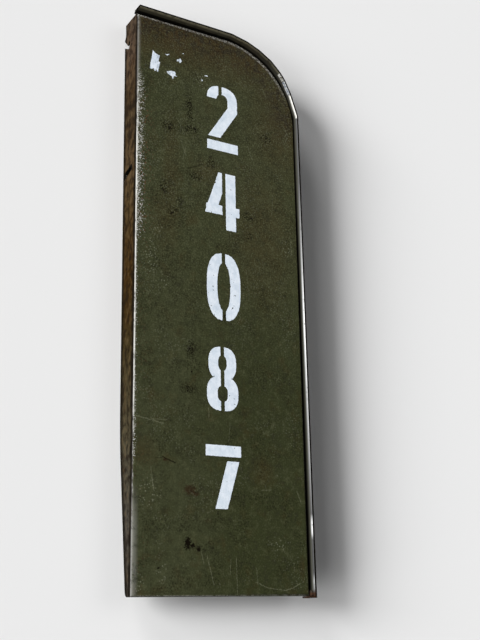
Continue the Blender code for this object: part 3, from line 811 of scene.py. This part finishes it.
# Rivets
# Nine aluminium blind rivets with domed heads, pulled through the rear panel into the stiffeners.
# They are dull, with dirt in the dimple and round the head.
def dull_aluminium():
    material, tree, shader, place = start_finish("dull_aluminium")
    mottle = grain(tree, place, 1.2, detail=5.0, rough=0.6)
    grime = fade(tree, grain(tree, place, 2.4, detail=4.0, shift=8.0), 0.48, 0.66)
    colour = blend(tree, fade(tree, mottle, 0.3, 0.7), shade(140, 140, 137), shade(182, 182, 178))
    colour = blend(tree, product(tree, grime, 0.8), colour, shade(66, 58, 46))
    rough = maths(tree, "MULTIPLY_ADD", grime, 0.3, 0.34)
    metal = maths(tree, "SUBTRACT", 0.9, product(tree, grime, 0.7))
    connect(tree, shader, colour=colour, roughness=rough, metallic=metal)
    raise_surface(tree, shader, mottle, 0.05)
    return material


aluminium = dull_aluminium()
for row in ROWS:
    for number in (1, 2, 3):
        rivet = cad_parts[f"rivet_{row}_{number}"]
        smooth_folds(rivet)
        dress(rivet, aluminium)


# Stencilled numbers
# Five plain digits in white paint, sprayed through cut card stencils, so that narrow bridges of
# enamel part each one. The film is thin, and its edges are ragged and chipped.
STENCIL_WHITE = shade(226, 234, 243)
FILM = 0.10  # its thickness
FILM_CELL = 0.7  # the squares that its outline is traced on
FILM_CLEAR = 0.02  # its gap from the face, so that the two don't flicker through each other
RAGGED = 0.35
BRIDGE = 4.4


def rounded(x, y, left, low, right, high, power=2.6):
    """Below 0 inside a box with very round corners, in about millimetres from its edge."""
    wide, tall = (right - left) / 2, (high - low) / 2
    u, v = abs(x - (left + right) / 2) / wide, abs(y - (low + high) / 2) / tall
    return ((u**power + v**power) ** (1 / power) - 1) * min(wide, tall)


def bar(x, y, left, low, right, high):
    return max(left - x, x - right, low - y, y - high)


def slanted(x, y, start, end, width):
    """Below 0 inside an endless straight stroke through two points."""
    along = (Vector(end) - Vector(start)).normalized()
    return abs((x - start[0]) * -along.y + (y - start[1]) * along.x) - width / 2


def digit_two(x, y):
    bowl = max(rounded(x, y, -19, 2, 19, 39), -rounded(x, y, -7, 12, 7, 29.5))
    bowl = max(bowl, min(-x, 23 - y), min(-x - 0.1, 16 - y))
    hook = max(bowl, y - 39, min(7 - x, 18 - y))
    leg = max(slanted(x, y, (12.5, 12), (-12, -26), 12.5), y - 14, -23.5 - y, -19 - x, x - 19)
    base = bar(x, y, -19, -39, 19, -28)
    return max(min(hook, leg, base), -bar(x, y, -4.5, 26, -0.1, 44))


def digit_four(x, y):
    left = max(slanted(x, y, (1, 31), (-14, -12), 12.0), x + 0.5, -16 - y, y - 32.5)
    beam = bar(x, y, -20, -16, -0.5, -5.5)
    stem = bar(x, y, -0.5 + BRIDGE, -32.5, 16, 32.5)
    stub = bar(x, y, 10, -16, 20.5, -5.5)
    return min(left, beam, stem, stub)


def digit_nought(x, y):
    ring = max(rounded(x, y, -20, -36.5, 20, 36.5), -rounded(x, y, -7.8, -26, 7.8, 26, 2.3))
    return max(ring, BRIDGE / 2 - abs(x))


def digit_eight(x, y):
    loops = min(rounded(x, y, -16, -1.5, 16, 33), rounded(x, y, -18, -33, 18, 2.5))
    holes = min(rounded(x, y, -5, 8.5, 5, 24), rounded(x, y, -6, -23.5, 6, -7.5))
    return max(loops, -holes, BRIDGE / 2 - abs(x))


def digit_seven(x, y):
    beam = bar(x, y, -20, 20, 20, 31)
    leg = max(slanted(x, y, (11, 16), (-3, -31), 13.0), y - (20 - BRIDGE), -31 - y)
    return min(beam, leg)


def film_mesh(name, shape, left, low, right, high, seed, cell=FILM_CELL, worn=0.71):
    """Thin paint on the face wherever the shape is below 0. Its outline is made ragged, and small
    flakes are lost from it."""

    def field(x, y):
        near = noise.noise(Vector((x * 0.55, y * 0.55, seed)))
        fine = noise.noise(Vector((x * 1.7, y * 1.7, seed + 9)))
        value = shape(x, y) + RAGGED * (0.8 * near + 0.6 * fine)
        flake = noise.noise(Vector((x * 0.33, y * 0.33, seed + 20)))
        flake += 0.5 * noise.noise(Vector((x * 1.1, y * 1.1, seed + 30)))
        return max(value, (flake - worn) * 3)

    columns = int((right - left) / cell) + 1
    rows = int((high - low) / cell) + 1
    levels = [[field(left + i * cell, low + j * cell) for i in range(columns + 1)] for j in range(rows + 1)]
    mesh = bmesh.new()
    corners, crossings = {}, {}

    def point(x, y):
        return mesh.verts.new((x, 0.0, y))

    def corner(i, j):
        if (i, j) not in corners:
            corners[i, j] = point(left + i * cell, low + j * cell)
        return corners[i, j]

    def crossing(a, b):
        key = (min(a, b), max(a, b))
        if key not in crossings:
            (ai, aj), (bi, bj) = key
            start, end = levels[aj][ai], levels[bj][bi]
            share = min(max(start / (start - end), 0.08), 0.92)
            i, j = ai + (bi - ai) * share, aj + (bj - aj) * share
            crossings[key] = point(left + i * cell, low + j * cell)
        return crossings[key]

    for j in range(rows):
        for i in range(columns):
            square = [(i, j), (i + 1, j), (i + 1, j + 1), (i, j + 1)]
            loop = []
            for a, b in zip(square, square[1:] + square[:1]):
                inside_a, inside_b = levels[a[1]][a[0]] < 0, levels[b[1]][b[0]] < 0
                if inside_a:
                    loop.append(corner(*a))
                if inside_a != inside_b:
                    loop.append(crossing(a, b))
            if len(loop) >= 3:
                mesh.faces.new(loop)
    surface = list(mesh.faces)
    extruded = bmesh.ops.extrude_face_region(mesh, geom=surface)
    raised = [item for item in extruded["geom"] if isinstance(item, bmesh.types.BMVert)]
    bmesh.ops.translate(mesh, vec=(0.0, -FILM, 0.0), verts=raised)
    bmesh.ops.recalc_face_normals(mesh, faces=mesh.faces)
    data = bpy.data.meshes.new(name)
    mesh.to_mesh(data)
    mesh.free()
    return data


def lay_on_face(name, data, across, up, material):
    """Places paint drawn in millimetres round its own middle just clear of the face."""
    for vertex in data.vertices:
        x, y, z = vertex.co
        vertex.co = (
            FACE_LEFT + (across + x) * MM,
            FACE_DEPTH + (y - FILM_CLEAR) * MM,
            FACE_FOOT + (up + z) * MM,
        )
    made = bpy.data.objects.new(name, data)
    bpy.context.scene.collection.objects.link(made)
    dress(made, material)
    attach(made, "root")


def white_paint(name, worn):
    material, tree, shader, place = start_finish(name)
    cloud = grain(tree, place, 9.0, detail=5.0, rough=0.6)
    fine = grain(tree, place, 1.4, detail=4.0, rough=0.7, shift=4.0)
    colour = blend(tree, fade(tree, cloud, 0.35, 0.7), STENCIL_WHITE, shade(204, 216, 228))
    grey = product(tree, fade(tree, fine, 0.58, 0.74), 0.4)
    colour = blend(tree, grey, colour, shade(150, 156, 158))
    scraped = grain(tree, place, 2.2, detail=5.0, rough=0.6, stretch=(1, 1, 2.5), shift=6.0)
    colour = blend(tree, product(tree, fade(tree, scraped, 0.46, 0.6), worn), colour, shade(160, 172, 184))
    rubbed = fade(tree, grain(tree, place, 3.0, detail=6.0, rough=0.75, shift=14.0), 0.66 - 0.1 * worn, 0.74)
    colour = blend(tree, product(tree, rubbed, 0.6), colour, shade(96, 98, 84))
    connect(tree, shader, colour=colour, roughness=maths(tree, "MULTIPLY_ADD", fine, 0.2, 0.5))
    shader.inputs["Specular IOR Level"].default_value = 0.25
    raise_surface(tree, shader, fine, 0.05)
    return material


stencil_white = white_paint("stencil_white", 0.1)
NUMBERS = (
    ("two", digit_two, 102.2, 502.5, 21, 41),
    ("four", digit_four, 101.2, 405.1, 23, 35),
    ("nought", digit_nought, 101.2, 308.8, 22, 39),
    ("eight", digit_eight, 98.2, 210.9, 20, 35),
    ("seven", digit_seven, 98.2, 112.5, 22, 33),
)
for count, (name, shape, across, up, wide, tall) in enumerate(NUMBERS):
    data = film_mesh(f"stencil_{name}", shape, -wide, -tall, wide, tall, seed=count * 3.7)
    lay_on_face(f"stencil_{name}", data, across, up, stencil_white)


# Paint flakes
# Torn leftovers of a white paint patch near the top left, scraped down to thin shreds. Each outline is
# given as (across, up).
FLAKES = (
    (
        (17.8, 562.8),
        (21.3, 559.6),
        (26.0, 558.4),
        (24.6, 551.2),
        (26.4, 550.2),
        (25.4, 545.4),
        (23.9, 537.7),
        (22.0, 540.6),
        (20.5, 537.9),
        (18.7, 541.2),
        (16.6, 539.5),
        (14.6, 540.0),
        (15.2, 546.9),
        (16.2, 551.7),
        (16.9, 556.4),
    ),
    (
        (34.3, 541.9),
        (39.5, 544.0),
        (44.0, 544.0),
        (45.5, 541.8),
        (44.0, 540.2),
        (47.1, 539.2),
        (42.8, 538.6),
        (41.8, 534.1),
        (40.4, 537.9),
        (38.0, 538.5),
        (35.8, 539.6),
    ),
    ((46.8, 559.6), (50.9, 562.3), (51.5, 560.7), (53.0, 559.6), (50.4, 556.5), (48.6, 558.3), (46.4, 557.3)),
    ((32.3, 562.3), (37.7, 563.8), (35.0, 561.3)),
    ((52.9, 569.1), (55.5, 569.9), (54.7, 568.7)),
    ((79.8, 549.8), (81.6, 550.4), (83.7, 551.1), (84.9, 549.8), (83.0, 549.5), (81.2, 549.3)),
    ((76.8, 544.0), (78.3, 543.9), (78.0, 542.2), (76.8, 542.2)),
)


def torn(outline):
    """Below 0 inside an outline, in millimetres from its edge."""

    def shape(x, y):
        inside, nearest = False, math.inf
        for (ax, ay), (bx, by) in zip(outline, outline[1:] + outline[:1]):
            wide, tall = bx - ax, by - ay
            share = ((x - ax) * wide + (y - ay) * tall) / (wide**2 + tall**2)
            share = min(max(share, 0.0), 1.0)
            nearest = min(nearest, math.hypot(ax + share * wide - x, ay + share * tall - y))
            if (ay > y) != (by > y) and x < ax + (y - ay) / tall * wide:
                inside = not inside
        return -nearest if inside else nearest

    return shape


flake_white = white_paint("flake_white", 0.75)
for count, outline in enumerate(FLAKES, 1):
    middle = [sum(values) / len(outline) for values in zip(*outline)]
    around = [(x - middle[0], y - middle[1]) for x, y in outline]
    reach = max(max(abs(x), abs(y)) for x, y in around) + 1
    data = film_mesh(
        f"flake_{count}", torn(around), -reach, -reach, reach, reach, seed=count * 5.1, cell=0.4, worn=0.75
    )
    lay_on_face(f"flake_{count}", data, *middle, flake_white)


# Stage
# A pale wall along the flange's back edge, which is a little deeper at the top than lower down. It takes
# the sign's soft shadow. A pale floor lies under the foot. Both are clear when seen from behind.
WHITE = 0.84
WALL_BACK = 0.0008  # metres behind the flange, at its top
WALL_LEAN = 0.0079  # metres back for each metre up
REACH = 3.0


def pale_surface(name, places):
    """Takes the sign's shadow, and neither shades the sign nor throws light back on it."""
    mesh = bpy.data.meshes.new(name)
    mesh.from_pydata(places, [], [(0, 1, 2, 3)])
    made = bpy.data.objects.new(name, mesh)
    bpy.context.scene.collection.objects.link(made)
    material = bpy.data.materials.new(name)
    material.use_nodes = True
    tree = material.node_tree
    tree.nodes.clear()
    paint = add(tree, "BsdfDiffuse", {"Color": (WHITE, WHITE, WHITE, 1.0)})
    clear = add(tree, "BsdfTransparent")
    geometry = add(tree, "NewGeometry")
    mixed = add(
        tree,
        "MixShader",
        {0: geometry.outputs["Backfacing"], 1: paint.outputs[0], 2: clear.outputs[0]},
    )
    output = add(tree, "OutputMaterial")
    tree.links.new(mixed.outputs[0], output.inputs["Surface"])
    made.data.materials.append(material)
    made.visible_shadow = False
    made.visible_diffuse = False
    return made


face_top = FACE_FOOT + FACE_HEIGHT * MM
wall_low, wall_high = (
    panel_high.y + WALL_BACK + WALL_LEAN * (height - face_top) for height in (-REACH, REACH)
)
pale_surface(
    "wall",
    [
        (-REACH, wall_low, -REACH),
        (REACH, wall_low, -REACH),
        (REACH, wall_high, REACH),
        (-REACH, wall_high, REACH),
    ],
)
floor = pale_surface(
    "floor", [(-REACH, -REACH, 0.0), (REACH, -REACH, 0.0), (REACH, REACH, 0.0), (-REACH, REACH, 0.0)]
)
floor.visible_glossy = False

# Light
# Soft lamps stand far round to the left of the sign, with a weak one on its right and one behind it, and
# faint light comes from all round. Reflections meet the wall or the white of the world.
AMBIENT = 0.03
BACKDROP = 0.87  # the white that the camera and reflections see
world = bpy.data.worlds.new("studio")
bpy.context.scene.world = world
world.use_nodes = True
sky = world.node_tree
rays = add(sky, "LightPath").outputs
seen = most(sky, rays["Is Camera Ray"], rays["Is Glossy Ray"], rays["Is Transmission Ray"])
background = sky.nodes["Background"]
background.inputs["Color"].default_value = (1, 1, 1, 1)
strength = add(sky, "MapRange", {"Value": seen, "To Min": AMBIENT, "To Max": BACKDROP})
sky.links.new(strength.outputs["Result"], background.inputs["Strength"])


def soft_sun(name, towards, strength, spread):
    """A wide even source, in the given direction as seen from the sign, with its width in degrees."""
    lamp = bpy.data.lights.new(name, "SUN")
    lamp.energy = strength
    lamp.angle = math.radians(spread)
    made = bpy.data.objects.new(name, lamp)
    made.rotation_euler = (-Vector(towards)).to_track_quat("-Z", "Y").to_euler()
    bpy.context.scene.collection.objects.link(made)
    return made


soft_sun("key", (-2.9, -1.0, 0.7), 5.0, 24.0)
soft_sun("upper", (-1.8, -1.0, 2.2), 1.2, 24.0)
soft_sun("low", (-2.9, -1.0, -0.7), 1.6, 24.0)
soft_sun("under", (-1.8, -1.0, -1.2), 0.5, 24.0)
soft_sun("front", (0.8, -1.0, 0.4), 0.4, 40.0)
# The one behind shines through the wall, so what it lights there must not brighten the gap behind the
# flange
rear_sun = soft_sun("rear", (1.0, 0.9, 0.5), 2.8, 40.0)
rear_sun.data.cycles.max_bounces = 0

# Camera
# It stands a little left of the sign and below its middle, and looks slightly up at it.
camera_data = bpy.data.cameras.new("camera")
camera_data.sensor_width = 36.0
camera_data.lens = 55.8
camera = bpy.data.objects.new("camera", camera_data)
camera.location = (-0.48635, -0.8561, -0.01922)
camera.rotation_euler = tuple(math.radians(a) for a in (106.803, 1.053, -30.682))
bpy.context.scene.collection.objects.link(camera)
bpy.context.scene.camera = camera
bpy.context.scene.view_settings.view_transform = "Standard"
